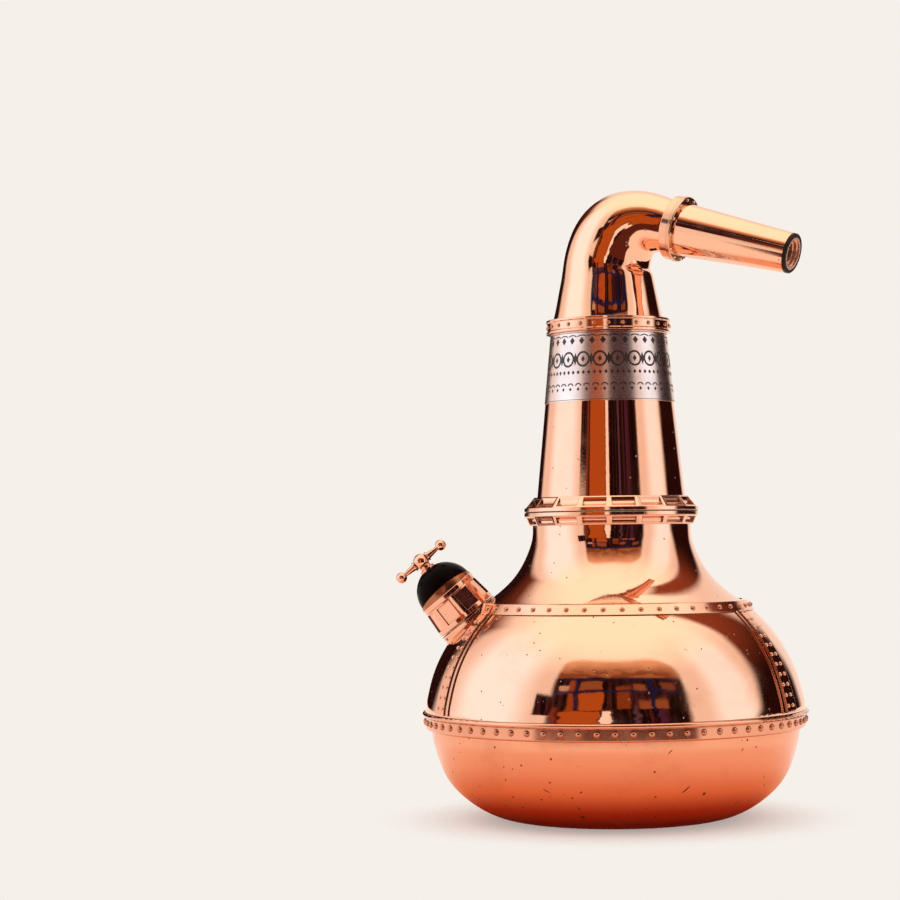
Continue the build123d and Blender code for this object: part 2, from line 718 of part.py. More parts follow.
# ---- Write every piece ----
pieces = {
    "pot_bowl": pot_bowl(),
    "waist_band": waist_band(),
    "waist_rivets": waist_rivets(),
    "shoulder_panel_front": shoulder_panel(STRAP_BEARINGS["left"], STRAP_BEARINGS["right"]),
    "shoulder_panel_right_rear": shoulder_panel(STRAP_BEARINGS["right"], STRAP_BEARINGS["rear"]),
    "shoulder_panel_left_rear": shoulder_panel(STRAP_BEARINGS["rear"] - 360, STRAP_BEARINGS["left"]),
    "shoulder_band": shoulder_band(),
    "shoulder_rivets": shoulder_rivets(),
    "neck_flare": neck_flare(),
    "collar_lower_flange": collar_lower_flange(),
    "collar_gasket": collar_gasket(),
    "collar_upper_flange": collar_upper_flange(),
    "column": column(),
    "label_sleeve": label_sleeve(),
    "head_band": head_band(),
    "head_rivets": head_rivets(),
    "swan_neck_elbow": swan_neck_elbow(),
    "arm_flange_inner": arm_flange_inner(),
    "arm_flange_outer": arm_flange_outer(),
    "arm_flange_bolts": arm_flange_bolts(),
    "lyne_arm": lyne_arm(),
    "arm_end_ring": arm_end_ring(),
    "arm_end_bush": arm_end_bush(),
    "spout_saddle": spout_saddle(),
    "spout_saddle_rivets": spout_saddle_rivets(),
    "spout_neck": spout_neck(),
    "cap_liner": cap_liner(),
    "cap_insert": cap_insert(),
    "cap_skirt": cap_skirt(),
    "cap_band": cap_band(),
    "cap_dome": cap_dome(),
    "cap_dome_lips": cap_dome_lips(),
    "handle_stem": handle_stem(),
    "handle_hub": handle_hub(),
    "handle_arm_outer": handle_arm(1),
    "handle_arm_inner": handle_arm(-1),
    "handle_ball_outer": handle_ball(1),
    "handle_ball_inner": handle_ball(-1),
}
for place, bearing in STRAP_BEARINGS.items():
    pieces["seam_strap_" + place] = seam_strap(bearing)
    pieces["seam_rivets_" + place] = seam_rivets(bearing)

os.makedirs("parts", exist_ok=True)
for name, shape in pieces.items():
    export_step(shape, "parts/" + name + ".step")
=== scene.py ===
from math import cos, pi, radians, sin

import bmesh
import bpy
from mathutils import Matrix, Vector


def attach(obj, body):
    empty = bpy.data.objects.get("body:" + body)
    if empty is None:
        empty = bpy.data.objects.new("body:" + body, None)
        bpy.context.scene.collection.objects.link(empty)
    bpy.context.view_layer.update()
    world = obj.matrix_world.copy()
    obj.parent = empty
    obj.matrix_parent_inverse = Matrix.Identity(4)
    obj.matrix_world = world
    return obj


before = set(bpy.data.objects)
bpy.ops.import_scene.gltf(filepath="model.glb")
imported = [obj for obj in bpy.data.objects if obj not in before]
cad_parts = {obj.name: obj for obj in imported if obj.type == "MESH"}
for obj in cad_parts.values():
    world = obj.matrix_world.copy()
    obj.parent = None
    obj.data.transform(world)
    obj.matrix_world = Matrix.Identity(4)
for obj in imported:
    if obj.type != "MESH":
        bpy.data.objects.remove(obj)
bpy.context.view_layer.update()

# The copper pot-still decanter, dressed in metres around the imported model.
# The still's axis is +Z, the camera stands on the -Y side and the arm points towards +X.

# ---- Camera ----
CAMERA_BACK = 0.874           # distance from the still's axis
CAMERA_HEIGHT = 0.1064
CAMERA_YAW = -3.99            # degrees, negative turns to the left
CAMERA_PITCH = 2.17
CAMERA_ROLL = -0.8
LENS = 92
SENSOR = 36

# ---- Colours, linear ----
PALE = (0.92, 0.87, 0.82)     # what the eye sees behind the still
COPPER = (0.93, 0.52, 0.36)
DEEP_COPPER = (0.62, 0.20, 0.09)
BROWN = (0.10, 0.030, 0.016)
WHITE = (1, 1, 1)


# ---- Node helpers ----
def new_material(name):
    """A new material with its node tree and its principled shader."""
    material = bpy.data.materials.new(name)
    material.use_nodes = True
    tree = material.node_tree
    shader = tree.nodes["Principled BSDF"]
    return material, tree, shader


def put(tree, kind, settings=None, **inputs):
    """Adds a node; inputs are values or sockets, named with _ for a space or numbered as i0, i1."""
    node = tree.nodes.new(kind)
    for key, value in (settings or {}).items():
        setattr(node, key, value)
    for key, value in inputs.items():
        numbered = key[0] == "i" and key[1:].isdigit()
        socket = node.inputs[int(key[1:]) if numbered else key.replace("_", " ")]
        if isinstance(value, bpy.types.NodeSocket):
            tree.links.new(value, socket)
        else:
            socket.default_value = value
    return node


def math(tree, operation, *values):
    """A math node's result."""
    inputs = {"i" + str(index): value for index, value in enumerate(values)}
    return put(tree, "ShaderNodeMath", {"operation": operation}, **inputs).outputs[0]


def step(tree, value, low, high, soft_low=0.0, soft_high=1.0):
    """Smooth step from soft_low at low to soft_high at high."""
    node = put(
        tree, "ShaderNodeMapRange", {"interpolation_type": "SMOOTHSTEP"},
        Value=value, From_Min=low, From_Max=high, To_Min=soft_low, To_Max=soft_high,
    )
    return node.outputs["Result"]


def mix(tree, share, first, second):
    """Colour mix; share is a value or a socket."""
    node = put(tree, "ShaderNodeMix", {"data_type": "RGBA"}, i0=share)
    for index, value in ((6, first), (7, second)):
        if isinstance(value, bpy.types.NodeSocket):
            tree.links.new(value, node.inputs[index])
        else:
            node.inputs[index].default_value = (*value, 1)
    return node.outputs[2]


def noise(tree, where, scale, detail=3.0, roughness=0.5, distortion=0.0):
    """Smooth noise from 0 to 1."""
    return put(
        tree, "ShaderNodeTexNoise", Vector=where, Scale=scale, Detail=detail,
        Roughness=roughness, Distortion=distortion,
    ).outputs["Fac"]


def bump(tree, height, distance, strength=1.0, normal=None):
    """A normal tilted by a height map whose full height is a distance in metres."""
    inputs = {"Height": height, "Distance": distance, "Strength": strength}
    if normal is not None:
        inputs["Normal"] = normal
    return put(tree, "ShaderNodeBump", **inputs).outputs["Normal"]


def object_place(tree):
    """Coordinates that stay with the piece, in metres."""
    return put(tree, "ShaderNodeTexCoord").outputs["Object"]


def stretched(tree, where, turn, scale):
    """Coordinates scaled along each axis, then turned by degrees about each."""
    rotation = tuple(radians(angle) for angle in turn)
    return put(tree, "ShaderNodeMapping", Vector=where, Rotation=rotation, Scale=scale).outputs["Vector"]


# ---- Materials ----
# Sizes of the patterns in the copper, as repeats per metre; depths, reaches and cells are in metres.
WAVES = 30.0
CLOUDS = 38.0
SMEARS = 75.0
BRUSHING = 900.0
DUST = 1900.0
BRUSHING_DEPTH = 0.000004
MARK_DEPTH = 0.00005
CORNER_REACH = 0.0016
NICK_CELL = (0.0035, 0.0035, 0.026)     # room for one scratch, which runs along the last side
NICK_LEANS = (48, -64)                  # degrees from upright


def nicks(tree, where, lean, size, share):
    """Short scratches that lean by some degrees from upright, in a share of the cells."""
    slanted = put(
        tree, "ShaderNodeMapping", {"vector_type": "TEXTURE"},
        Vector=where, Rotation=(0, radians(lean), 0), Scale=NICK_CELL,
    )
    return pits(tree, slanted.outputs["Vector"], 1.0, size, share)


def pits(tree, where, scale, size, share):
    """Round specks in a share of the cells of a given scale."""
    cell = put(tree, "ShaderNodeTexVoronoi", Vector=where, Scale=scale, Randomness=1.0)
    spot = step(tree, cell.outputs["Distance"], size * 0.6, size, 1.0, 0.0)
    pick = put(tree, "ShaderNodeSeparateColor", Color=cell.outputs["Color"]).outputs[0]
    return math(tree, "MULTIPLY", spot, math(tree, "LESS_THAN", pick, share))


def most(tree, *values):
    """The largest of several values."""
    result = values[0]
    for value in values[1:]:
        result = math(tree, "MAXIMUM", result, value)
    return result


def least(tree, *values):
    """The smallest of several values."""
    result = values[0]
    for value in values[1:]:
        result = math(tree, "MINIMUM", result, value)
    return result


def crevices(tree, reach, share):
    """Grime and painted shade in corners, found by ambient occlusion: 0 in the open, up to share deep in a
    corner.
    """
    open_air = put(tree, "ShaderNodeAmbientOcclusion", {"samples": 6}, Distance=reach).outputs["AO"]
    return step(tree, open_air, 0.35, 0.85, share, 0.0)


def copper_marks(tree, where, wear, speck, speck_share, nick_share):
    """Specks of two sizes, dust and scratches: 1 on a mark, 0 beside it."""
    fine = pits(tree, where, speck, 0.16, speck_share)
    large = pits(tree, where, speck * 0.22, 0.09, speck_share * 0.8)
    dust = step(tree, noise(tree, where, DUST, 2.0), 0.72, 0.82, 0.0, wear * 0.5)
    marks = most(tree, fine, large, dust)
    if nick_share > 0:
        rising = nicks(tree, where, NICK_LEANS[0], 0.11, nick_share)
        falling = nicks(tree, where, NICK_LEANS[1], 0.09, nick_share * 0.7)
        marks = most(tree, marks, rising, falling)
    return marks


def copper_relief(tree, where, marks, wave, edge):
    """The normal of slightly wavy sheet with rounded edges, fine brushing and sunken marks."""
    normal = None
    if edge > 0:
        normal = put(tree, "ShaderNodeBevel", {"samples": 6}, Radius=edge).outputs["Normal"]
    normal = bump(tree, noise(tree, where, WAVES, 1.0), wave, 1.0, normal)
    normal = bump(tree, noise(tree, where, BRUSHING, 3.0), BRUSHING_DEPTH, 1.0, normal)
    return bump(tree, math(tree, "SUBTRACT", 1.0, marks), MARK_DEPTH, 1.0, normal)


def copper(
    name, colour=COPPER, roughness=0.035, wear=0.4, wave=0.00012, speck=420.0, speck_share=0.08,
    nick_share=0.0, edge=0.0, grime_and_shade=0.0,
):
    """Polished copper: slightly wavy, with tarnish clouds, specks, nicks, worn edges, and grime with painted
    shade in the corners.
    """
    material, tree, shader = new_material(name)
    where = object_place(tree)
    tarnish = step(tree, noise(tree, where, CLOUDS, 6.0, 0.62, 0.4), 0.50, 0.78, 0.0, wear)
    tone = mix(tree, math(tree, "MULTIPLY", tarnish, 0.55), colour, DEEP_COPPER)
    marks = copper_marks(tree, where, wear, speck, speck_share, nick_share)
    final = mix(tree, math(tree, "MULTIPLY", marks, 0.85), tone, BROWN)
    # Grime and painted shade: the base colour turns brown in corners that ambient occlusion finds.
    if grime_and_shade > 0:
        final = mix(tree, crevices(tree, CORNER_REACH, grime_and_shade), final, BROWN)
    tree.links.new(final, shader.inputs["Base Color"])
    smear = step(tree, noise(tree, where, SMEARS, 4.0, 0.6, 1.0), 0.35, 0.75, 0.0, 0.06)
    rough = math(tree, "ADD", math(tree, "ADD", smear, roughness), math(tree, "MULTIPLY", tarnish, 0.18))
    rough = math(tree, "ADD", rough, math(tree, "MULTIPLY", marks, 0.25))
    tree.links.new(rough, shader.inputs["Roughness"])
    shader.inputs["Metallic"].default_value = 1.0
    tree.links.new(copper_relief(tree, where, marks, wave, edge), shader.inputs["Normal"])
    return material


def trim(name, colour, roughness, wear, grime_and_shade, edge=0.00035):
    """Copper for small parts: fine specks only, rounded edges, and grime with painted shade in the corners.
    """
    return copper(
        name, colour, roughness, wear, wave=0.00003, speck=1500.0, speck_share=0.06, edge=edge, grime_and_shade=grime_and_shade
    )


def satin_label():
    """Satin foil, a warm mauve."""
    material, tree, shader = new_material("label_satin_foil")
    where = object_place(tree)
    clouds = noise(tree, where, 55.0, 5.0, 0.6)
    grain = noise(tree, where, 2600.0, 3.0, 0.7)
    tone = mix(tree, step(tree, clouds, 0.35, 0.75), (0.88, 0.66, 0.60), (0.76, 0.53, 0.47))
    tone = mix(tree, step(tree, grain, 0.55, 0.75, 0.0, 0.4), tone, (0.50, 0.28, 0.24))
    tree.links.new(tone, shader.inputs["Base Color"])
    grainy = step(tree, grain, 0.4, 0.8, 0.0, 0.05)
    rough = math(tree, "ADD", step(tree, clouds, 0.3, 0.8, 0.22, 0.28), grainy)
    tree.links.new(rough, shader.inputs["Roughness"])
    shader.inputs["Metallic"].default_value = 1.0
    tree.links.new(bump(tree, grain, 0.000006, 0.8), shader.inputs["Normal"])
    return material


def plain_coating(name, colour, other, roughness, specular=0.5, glint=WHITE):
    """A moulded, rubber or lacquered surface with uneven colour, roughness and a fine grain."""
    material, tree, shader = new_material(name)
    where = object_place(tree)
    clouds = noise(tree, where, 120.0, 5.0, 0.6)
    tree.links.new(mix(tree, step(tree, clouds, 0.3, 0.75), colour, other), shader.inputs["Base Color"])
    rough = step(tree, clouds, 0.3, 0.7, roughness * 0.8, roughness * 1.25)
    tree.links.new(rough, shader.inputs["Roughness"])
    shader.inputs["Specular IOR Level"].default_value = specular
    shader.inputs["Specular Tint"].default_value = (*glint, 1)
    tree.links.new(bump(tree, noise(tree, where, 600.0, 3.0), 0.00002, 0.5), shader.inputs["Normal"])
    return material


pot_copper = copper("copper_shoulder", speck_share=0.14, nick_share=0.10)
bowl_copper = copper(
    "copper_bowl_satin", (0.88, 0.38, 0.22), roughness=0.19, wear=0.75, wave=0.00010, speck=300.0,
    speck_share=0.30, nick_share=0.40,
)
column_copper = copper("copper_column", (0.93, 0.50, 0.34), roughness=0.025, wear=0.25, wave=0.00006)
head_copper = copper("copper_head", (0.94, 0.53, 0.35), roughness=0.025, wear=0.25, wave=0.00004)
arm_copper = copper("copper_arm", (0.94, 0.53, 0.35), roughness=0.025, wear=0.25, wave=0.00002)

# Small parts: name, colour, roughness, wear, the share of grime and painted shade in corners and, where it
# isn't the usual one, the edge radius.
trim_copper = trim("copper_trim", (0.90, 0.48, 0.32), 0.08, 0.6, 0.85)
waist_copper = trim("copper_waist", (0.82, 0.38, 0.24), 0.11, 0.8, 0.90)
strap_copper = trim("copper_straps", (0.88, 0.45, 0.30), 0.07, 0.6, 0.85, 0.00022)
rivet_copper = trim("copper_rivets", (0.62, 0.26, 0.15), 0.16, 0.9, 0.95, 0.0001)
seam_rivet_copper = trim("copper_seam_rivets", (0.84, 0.40, 0.26), 0.12, 0.7, 0.55, 0.0001)
cap_copper = trim("copper_cap", (0.90, 0.46, 0.31), 0.05, 0.2, 0.6, 0.0002)
lip_copper = trim("copper_tarnished_lips", (0.42, 0.15, 0.07), 0.22, 0.9, 0.5, 0.0001)
flange_copper = trim("copper_flange_worn", (0.80, 0.44, 0.27), 0.14, 0.9, 0.95, 0.0003)
bush_copper = trim("copper_bush", (0.95, 0.62, 0.48), 0.32, 0.3, 0.0, 0.0001)
bolt_copper = trim("copper_bolts", (0.93, 0.62, 0.45), 0.10, 0.4, 0.5, 0.0001)

label_foil = satin_label()
ink_brown = plain_coating("ornament_dark_brown", (0.022, 0.008, 0.007), (0.040, 0.014, 0.011), 0.40)
dome_black = plain_coating(
    "dome_black_gloss", (0.003, 0.001, 0.001), (0.005, 0.002, 0.002), 0.10, 0.02, glint=(1.0, 0.62, 0.48)
)
seal_black = plain_coating(
    "seal_black", (0.010, 0.005, 0.004), (0.020, 0.010, 0.008), 0.40, 0.15, glint=(1.0, 0.75, 0.65)
)
gasket_dark = plain_coating("gasket_dark", (0.05, 0.03, 0.025), (0.09, 0.05, 0.04), 0.7)
insert_cream = plain_coating("insert_cream", (0.80, 0.77, 0.70), (0.72, 0.68, 0.60), 0.45)
liner_grey = plain_coating("liner_grey", (0.70, 0.67, 0.60), (0.62, 0.58, 0.52), 0.6)

FINISHES = {
    "pot_bowl": bowl_copper,
    "waist_band": waist_copper,
    "neck_flare": pot_copper,
    "column": column_copper,
    "label_sleeve": label_foil,
    "swan_neck_elbow": head_copper,
    "arm_flange_outer": flange_copper,
    "arm_flange_bolts": bolt_copper,
    "lyne_arm": arm_copper,
    "arm_end_ring": seal_black,
    "arm_end_bush": bush_copper,
    "collar_gasket": gasket_dark,
    "cap_dome": dome_black,
    "cap_dome_lips": lip_copper,
    "cap_insert": insert_cream,
    "cap_liner": liner_grey,
}


def finish_for(node):
    """The material of a CAD node."""
    if node in FINISHES:
        return FINISHES[node]
    if node.startswith("shoulder_panel"):
        return pot_copper
    if node.startswith("seam_strap"):
        return strap_copper
    if node.startswith("seam_rivets"):
        return seam_rivet_copper
    if "rivets" in node:
        return rivet_copper
    if node.startswith(("cap_", "handle_")):
        return cap_copper
    return trim_copper


def dress_nodes():
    """Gives every CAD node its material."""
    for name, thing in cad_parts.items():
        thing.data.materials.clear()
        thing.data.materials.append(finish_for(name))


# ---- Label ornament ----
TINY = 0.0001
INLAY = 0.00004               # how far the ornament stands out of the foil
EDGE_LINE = 0.0005            # from the label's edge to its line
EDGE_LINE_THICK = 0.00018

# Places of the five rows, as shares of the label's height, and how often each repeats round it.
LOZENGES_AT = 0.865
ARCHES_AT = 0.79
RINGS_AT = 0.60
BEADS_AT = 0.41
SCALLOPS_AT = 0.20
LOZENGES = 34
RINGS = 22
BEADS = 68
SCALLOPS = 44


def cone_of(node):
    """Foot radius, foot height and radius lost per metre of an upright cone-shaped node."""
    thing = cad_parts[node]
    points = [thing.matrix_world @ vertex.co for vertex in thing.data.vertices]
    low = min(point.z for point in points)
    high = max(point.z for point in points)
    low_r = max(point.xy.length for point in points if point.z < low + TINY)
    high_r = max(point.xy.length for point in points if point.z > high - TINY)
    return low_r, low, high, (low_r - high_r) / (high - low)


class Band:
    """Draws flat shapes on the label's cone; places are (distance round, height above the foot)."""

    def __init__(self):
        self.low_r, self.low, self.high, self.taper = cone_of("label_sleeve")
        self.build = bmesh.new()

    def vertex(self, along, rise, lift):
        """A point that stands out of the foil by lift."""
        radius = self.low_r - self.taper * rise
        turn = along / self.low_r - pi / 2
        far = radius + lift
        return self.build.verts.new((far * cos(turn), far * sin(turn), self.low + rise))

    def plate(self, outline):
        """A thin closed plate over an outline of (along, rise) pairs, drawn counter-clockwise."""
        outer = [self.vertex(along, rise, INLAY) for along, rise in outline]
        inner = [self.vertex(along, rise, -INLAY) for along, rise in outline]
        self.build.faces.new(outer)
        self.build.faces.new(inner[::-1])
        for index in range(len(outer)):
            after = (index + 1) % len(outer)
            self.build.faces.new((outer[index], inner[index], inner[after], outer[after]))

    def lozenge(self, along, rise, half_width, half_height):
        """A diamond with a centre, a half width and a half height."""
        self.plate(((along - half_width, rise), (along, rise - half_height),
                    (along + half_width, rise), (along, rise + half_height)))

    def arc(self, along, rise, radius, start, end, thick, steps):
        """A curved stroke from start to end degrees."""
        for index in range(steps):
            corners = []
            for share, edge in ((index, -1), (index, 1), (index + 1, 1), (index + 1, -1)):
                angle = radians(start + (end - start) * share / steps)
                far = radius + edge * thick / 2
                corners.append((along + far * cos(angle), rise + far * sin(angle)))
            self.plate(corners)

    def line(self, rise, thick, steps=180):
        """A line all the way round."""
        whole = 2 * pi * self.low_r
        for index in range(steps):
            start = whole * index / steps
            end = whole * (index + 1) / steps
            self.plate(((start, rise - thick / 2), (end, rise - thick / 2),
                        (end, rise + thick / 2), (start, rise + thick / 2)))

    def row(self, count):
        """Evenly spaced distances round the label."""
        return [2 * pi * self.low_r * (index + 0.5) / count for index in range(count)]

    def finish(self, name, material):
        """Makes one piece of all the plates; it rides on the still."""
        mesh = bpy.data.meshes.new(name)
        self.build.to_mesh(mesh)
        self.build.free()
        thing = bpy.data.objects.new(name, mesh)
        bpy.context.scene.collection.objects.link(thing)
        mesh.materials.append(material)
        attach(thing, "still")


def label_ornament():
    """Five rows of plain geometric ornament and two edge lines."""
    band = Band()
    tall = band.high - band.low
    for along in band.row(LOZENGES):
        band.lozenge(along, tall * LOZENGES_AT, 0.0012, 0.0014)
    for along in band.row(LOZENGES):
        band.arc(along, tall * ARCHES_AT, radius=0.0040, start=60, end=120, thick=0.0004, steps=4)
    half_way = pi * band.low_r / RINGS
    for along in band.row(RINGS):
        band.arc(along, tall * RINGS_AT, radius=0.0026, start=0, end=360, thick=0.00075, steps=20)
        band.lozenge(along, tall * RINGS_AT, 0.0008, 0.0012)
        band.lozenge(along + half_way, tall * RINGS_AT, 0.0009, 0.0024)
    for along in band.row(BEADS):
        band.lozenge(along, tall * BEADS_AT, 0.0007, 0.0008)
    for along in band.row(SCALLOPS):
        band.arc(along, tall * SCALLOPS_AT, radius=0.0013, start=20, end=160, thick=0.00045, steps=8)
        band.lozenge(along, tall * SCALLOPS_AT - 0.0008, 0.0006, 0.0007)
    band.line(EDGE_LINE, EDGE_LINE_THICK)
    band.line(tall - EDGE_LINE, EDGE_LINE_THICK)
    band.finish("label_ornament", ink_brown)


# ---- Studio ----
def panel(tree, place, low, high, soft):
    """1 between two azimuths or heights, falling to 0 over a soft edge outside them."""
    rise = step(tree, place, low - soft, low)
    fall = step(tree, place, high, high + soft, 1.0, 0.0)
    return math(tree, "MULTIPLY", rise, fall)


def above(tree, height, low, high):
    """1 over a height of the mirrored direction, 0 under it."""
    return step(tree, height, low, high)


def below(tree, height, low, high):
    """1 under a height, 0 over it."""
    return step(tree, height, low, high, 1.0, 0.0)


def leaning(tree, azimuth, height, edge, lean):
    """Azimuth measured from an edge that moves by lean degrees as height goes from 0 to 1."""
    shift = math(tree, "MULTIPLY", height, lean)
    return math(tree, "SUBTRACT", math(tree, "SUBTRACT", azimuth, edge), shift)


def bearing(tree, vector):
    """A vector's azimuth in degrees, 0 on the camera's side and growing to the right, and its height."""
    axes = put(tree, "ShaderNodeSeparateXYZ", Vector=vector).outputs
    toward = math(tree, "MULTIPLY", axes[1], -1.0)
    return math(tree, "DEGREES", math(tree, "ARCTAN2", axes[0], toward)), axes[2]


def glossy_only(tree):
    """1 for a mirrored ray, 0 for the eye and for soft light."""
    return put(tree, "ShaderNodeLightPath").outputs["Is Glossy Ray"]


# The room's colours.
WOOD = (0.48, 0.110, 0.016)
OLD_WOOD = (0.34, 0.075, 0.014)
CARD = (0.30, 0.10, 0.035)
TAN = (0.22, 0.075, 0.03)
RUST = (0.24, 0.055, 0.012)
RED_BROWN = (0.20, 0.045, 0.018)
LILAC = (0.10, 0.055, 0.09)
PLUM = (0.07, 0.02, 0.05)
PAPER = (0.62, 0.42, 0.30)
GLARE = (1.20, 1.05, 0.95)
FRAME_BLUE = (0.012, 0.013, 0.070)
DARK = (0.010, 0.003, 0.003)
DIM_STREAK = (0.075, 0.020, 0.020)
CEILING_BOARD = (0.26, 0.085, 0.030)
CEILING_BEAM = (0.40, 0.17, 0.075)
CEILING_FAR = (0.90, 0.52, 0.30)

# What stands in the room: (left, right, low, high, colour), in degrees and as the sine of elevation.
GROUND = -1.0                 # straight down
THINGS = (
    (-33, -10, GROUND, 0.34, WOOD),
    (-39, -36, GROUND, 0.40, RED_BROWN),
    (-8, -3, GROUND, 0.33, GLARE),
    (12, 14, GROUND, 0.40, LILAC),
    (27, 31, GROUND, 0.40, PLUM),
    (-30, -26, 0.34, 0.62, OLD_WOOD),
    (-22, -8, 0.36, 0.50, WOOD),
    (16, 33, 0.38, 0.44, CARD),
    (-37, -31, 0.50, 0.56, PAPER),
    (-22, -8, 0.53, 0.60, CARD),
    (2, 9, 0.37, 0.55, RUST),
    (12, 21, 0.51, 0.57, CARD),
    (30, 40, 0.50, 0.58, TAN),
    (-44, 44, 0.500, 0.512, FRAME_BLUE),
    (-44, 44, 0.625, 0.640, FRAME_BLUE),
    (-26, -24.5, 0.35, 0.63, FRAME_BLUE),
    (24, 25.5, 0.35, 0.63, FRAME_BLUE),
)
ROOM_HALF = 46.0              # degrees from the middle of the room's opening to its sides
EDGE_SOFT = (0.8, 0.008)      # soft edges of the things: degrees and height
WOBBLE = (9.0, 0.06)          # how crooked the things stand: degrees and height
BOW = 0.06                    # how far the room's level lines rise at its sides
CEILING_FROM = (0.61, 0.67)   # a change over a height starts at the first and ends at the second
CEILING_LIT_FROM = (0.69, 0.82)


def patch(tree, azimuth, height, left, right, low, high):
    """1 inside a rectangle of azimuths and heights."""
    across = panel(tree, azimuth, left, right, EDGE_SOFT[0])
    return math(tree, "MULTIPLY", across, panel(tree, height, low, high, EDGE_SOFT[1]))


def room(tree, azimuth, height):
    """The dim workshop on the camera's side: a wooden ceiling, blue frames, crates and dark streaks."""
    places = put(tree, "ShaderNodeCombineXYZ", X=math(tree, "DIVIDE", azimuth, 90.0), Y=height).outputs[0]
    wobble = math(tree, "SUBTRACT", noise(tree, places, 7.0, 2.0), 0.5)
    across = math(tree, "ADD", azimuth, math(tree, "MULTIPLY", wobble, WOBBLE[0]))
    bow = math(tree, "MULTIPLY", math(tree, "POWER", math(tree, "DIVIDE", azimuth, ROOM_HALF), 2.0), BOW)
    rise = math(tree, "ADD", math(tree, "ADD", height, math(tree, "MULTIPLY", wobble, WOBBLE[1])), bow)
    streaks = noise(tree, stretched(tree, places, (0, 0, 0), (34, 1.6, 1)), 1.0, 2.0)
    dim = mix(tree, step(tree, streaks, 0.46, 0.66), DARK, DIM_STREAK)
    beams = step(tree, noise(tree, stretched(tree, places, (0, 0, 24), (7, 18, 1)), 1.0, 1.0), 0.50, 0.56)
    ceiling = mix(tree, beams, CEILING_BOARD, CEILING_BEAM)
    ceiling = mix(tree, above(tree, rise, *CEILING_LIT_FROM), ceiling, CEILING_FAR)
    view = mix(tree, above(tree, rise, *CEILING_FROM), dim, ceiling)
    for left, right, low, high, colour in THINGS:
        view = mix(tree, patch(tree, across, rise, left, right, low, high), view, colour)
    return view


# The bright walls with their two lamps, and what is overhead. A place is (left, right, soft edge) in degrees.
WALL = (1.00, 0.90, 0.82)
LEFT_LAMP_AT = (-100, -72, 24)
LEFT_LAMP = (1.22, 1.50, 1.70)
RIGHT_LAMP_AT = (72, 86, 16)
RIGHT_LAMP = (1.18, 1.38, 1.50)
OVERHEAD = (1.42, 1.46, 1.26)
OVERHEAD_FROM = (0.60, 0.97)
DUSK_LOW = (0.020, 0.0045, 0.004)
DUSK_HIGH = (0.30, 0.070, 0.030)
DUSK_CHANGES = (0.30, 0.85)

# Dark gaps between the walls. An edge is (azimuth, lean, softness before it, softness after it).
RIGHT_GAP = {"start": (93, 25, 4, 5), "end": (149, -12, 5, 5), "top": (0.90, 0.97)}
LEFT_GAP = {"start": (-190, 45, 5, 5), "end": (-139, 20, 8, 4), "top": (0.56, 0.76)}

# The opening to the room: (left, right, soft edge) in degrees or as heights.
DOORWAY = (-39, 45, 4)
DOORWAY_TOP = (0.79, 0.84)
CORNER_DROP = 0.10            # how far the opening's top comes down at its sides
SIDE_DOOR = (-50, -38, 2)
SIDE_DOOR_HEIGHTS = (0.22, 0.42, 0.03)


def gap(tree, azimuth, height, start, end, top):
    """1 in a dark gap between two leaning edges and below its top."""
    after_start = step(tree, leaning(tree, azimuth, height, start[0], start[1]), -start[2], start[3])
    before_end = step(tree, leaning(tree, azimuth, height, end[0], end[1]), -end[2], end[3], 1.0, 0.0)
    return least(tree, after_start, before_end, below(tree, height, *top))


def opening(tree, azimuth, height):
    """1 in the arched opening to the room and in the low door beside it."""
    corner = math(tree, "ABSOLUTE", math(tree, "DIVIDE", azimuth, ROOM_HALF))
    drop = math(tree, "MULTIPLY", math(tree, "POWER", corner, 6.0), CORNER_DROP)
    top = below(tree, math(tree, "ADD", height, drop), *DOORWAY_TOP)
    doorway = math(tree, "MULTIPLY", panel(tree, azimuth, *DOORWAY), top)
    side_heights = panel(tree, height, *SIDE_DOOR_HEIGHTS)
    side_door = math(tree, "MULTIPLY", panel(tree, azimuth, *SIDE_DOOR), side_heights)
    return most(tree, doorway, side_door)


def studio_world():
    """Plain pale to the eye; soft light panels and dark gaps to whatever mirrors them."""
    world = bpy.data.worlds.new("studio")
    bpy.context.scene.world = world
    world.use_nodes = True
    tree = world.node_tree
    azimuth, height = bearing(tree, put(tree, "ShaderNodeTexCoord").outputs["Generated"])
    walls = mix(tree, panel(tree, azimuth, *LEFT_LAMP_AT), WALL, LEFT_LAMP)
    walls = mix(tree, panel(tree, azimuth, *RIGHT_LAMP_AT), walls, RIGHT_LAMP)
    bright = mix(tree, above(tree, height, *OVERHEAD_FROM), walls, OVERHEAD)
    dusk = mix(tree, above(tree, height, *DUSK_CHANGES), DUSK_LOW, DUSK_HIGH)
    right_gap = gap(tree, azimuth, height, **RIGHT_GAP)
    left_gap = gap(tree, azimuth, height, **LEFT_GAP)
    mirrored = mix(tree, most(tree, right_gap, left_gap), bright, dusk)
    mirrored = mix(tree, opening(tree, azimuth, height), mirrored, room(tree, azimuth, height))
    seen = mix(tree, glossy_only(tree), PALE, mirrored)
    tree.links.new(seen, tree.nodes["Background"].inputs["Color"])


# What a mirror near the floor sees of it, by distance from the axis: painted light, darker and redder close
# under the pot as a painted shadow with the pot's painted red bounce light.
FLOOR_PAINTED_LIGHT = (
    (0.045, (0.10, 0.004, 0.001)),
    (0.054, (0.34, 0.030, 0.006)),
    (0.068, (0.80, 0.27, 0.12)),
    (0.100, (1.00, 0.62, 0.46)),
    (0.165, (1.10, 0.95, 0.86)),
)
GLOW_REACH = 0.2
ROOM_FLOOR = (0.11, 0.024, 0.014)
ROOM_FLOOR_AT = (-43, 45, 3)  # left, right and soft edge in degrees
TABLE_EDGE = (0.34, 0.40)
FLOOR_R = 1.6
FLOOR_PALE = (0.90, 0.88, 0.86)
FLOOR_SOLID = 0.6             # how solid the floor is under the pot, where it catches the shadow
FLOOR_FADE = (0.050, 0.095)


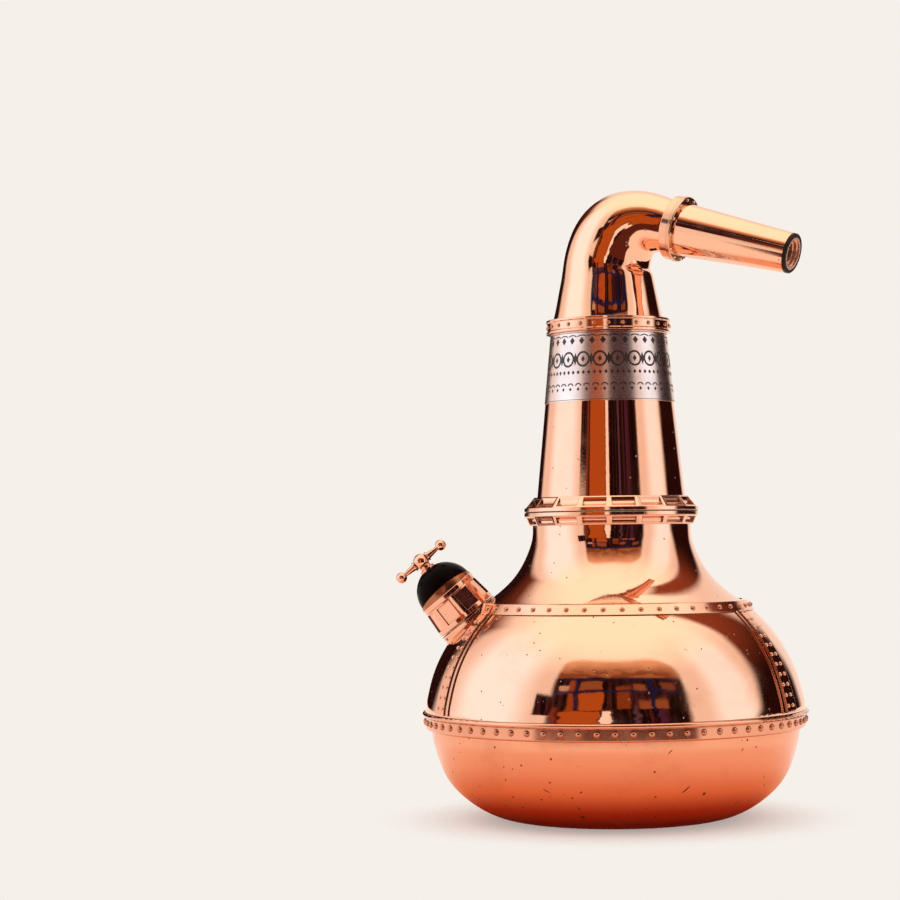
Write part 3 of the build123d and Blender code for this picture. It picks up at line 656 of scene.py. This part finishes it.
def floor_glow(tree, where, radius):
    """The floor's painted light as it glows from under the pot outwards, with a painted shadow and red bounce
    close under the pot, and the dim room beyond the table's front edge.
    """
    ramp = put(tree, "ShaderNodeValToRGB", Fac=math(tree, "DIVIDE", radius, GLOW_REACH))
    stops = ramp.color_ramp.elements
    stops.remove(stops[1])
    first, *others = FLOOR_PAINTED_LIGHT
    stops[0].position = first[0] / GLOW_REACH
    stops[0].color = (*first[1], 1)
    for reach, colour in others:
        stops.new(reach / GLOW_REACH).color = (*colour, 1)
    azimuth = bearing(tree, where)[0]
    beyond = math(tree, "MULTIPLY", panel(tree, azimuth, *ROOM_FLOOR_AT), step(tree, radius, *TABLE_EDGE))
    seen = mix(tree, beyond, ramp.outputs["Color"], ROOM_FLOOR)
    return put(tree, "ShaderNodeEmission", Color=seen).outputs[0]


def floor():
    """A pale floor disc that fades into the background; only a mirror sees its glow of painted light and
    painted shadow.
    """
    mesh = bpy.data.meshes.new("floor")
    build = bmesh.new()
    bmesh.ops.create_circle(build, cap_ends=True, radius=FLOOR_R, segments=96)
    build.to_mesh(mesh)
    build.free()
    thing = bpy.data.objects.new("floor", mesh)
    bpy.context.scene.collection.objects.link(thing)
    material, tree, shader = new_material("floor_pale")
    shader.inputs["Base Color"].default_value = (*FLOOR_PALE, 1)
    shader.inputs["Roughness"].default_value = 0.8
    shader.inputs["Specular IOR Level"].default_value = 0.0
    where = object_place(tree)
    radius = put(tree, "ShaderNodeVectorMath", {"operation": "LENGTH"}, i0=where).outputs["Value"]
    tree.links.new(step(tree, radius, *FLOOR_FADE, FLOOR_SOLID, 0.0), shader.inputs["Alpha"])
    # Painted light: mirrored rays see the floor glow, with a painted shadow under the pot.
    painted_floor = floor_glow(tree, where, radius)
    blend = put(tree, "ShaderNodeMixShader", i0=glossy_only(tree), i1=shader.outputs[0], i2=painted_floor)
    tree.links.new(blend.outputs[0], tree.nodes["Material Output"].inputs["Surface"])
    mesh.materials.append(material)


LIGHT_SIZE = 0.9
LIGHT_AIM = (0, 0, 0.1)
# Name, place and watts.
LIGHTS = (("key", (-0.7, -0.6, 1.1), 1.6), ("fill", (0.9, -0.5, 0.8), 0.8))


def soft_light(name, place, power):
    """A square lamp aimed at the pot that shows in no mirror."""
    light = bpy.data.lights.new(name, "AREA")
    light.size = LIGHT_SIZE
    light.energy = power
    thing = bpy.data.objects.new(name, light)
    bpy.context.scene.collection.objects.link(thing)
    thing.location = place
    thing.rotation_euler = (Vector(LIGHT_AIM) - Vector(place)).to_track_quat("-Z", "Y").to_euler()
    thing.visible_glossy = False


def camera():
    """The camera, placed on the -Y side and turned by its yaw, pitch and roll."""
    data = bpy.data.cameras.new("camera")
    data.lens = LENS
    data.sensor_width = SENSOR
    thing = bpy.data.objects.new("camera", data)
    bpy.context.scene.collection.objects.link(thing)
    yaw, pitch, roll = (radians(angle) for angle in (CAMERA_YAW, CAMERA_PITCH, CAMERA_ROLL))
    forward = Vector((sin(yaw) * cos(pitch), cos(yaw) * cos(pitch), sin(pitch)))
    level = Vector((cos(yaw), -sin(yaw), 0))
    upright = level.cross(forward)
    right = level * cos(roll) + upright * sin(roll)
    up = upright * cos(roll) - level * sin(roll)
    axes = Matrix((right, up, -forward)).transposed()
    thing.matrix_world = Matrix.Translation((0, -CAMERA_BACK, CAMERA_HEIGHT)) @ axes.to_4x4()
    bpy.context.scene.camera = thing


camera()
studio_world()
floor()
for lamp in LIGHTS:
    soft_light(*lamp)
dress_nodes()
label_ornament()
bpy.context.scene.view_settings.view_transform = "Standard"
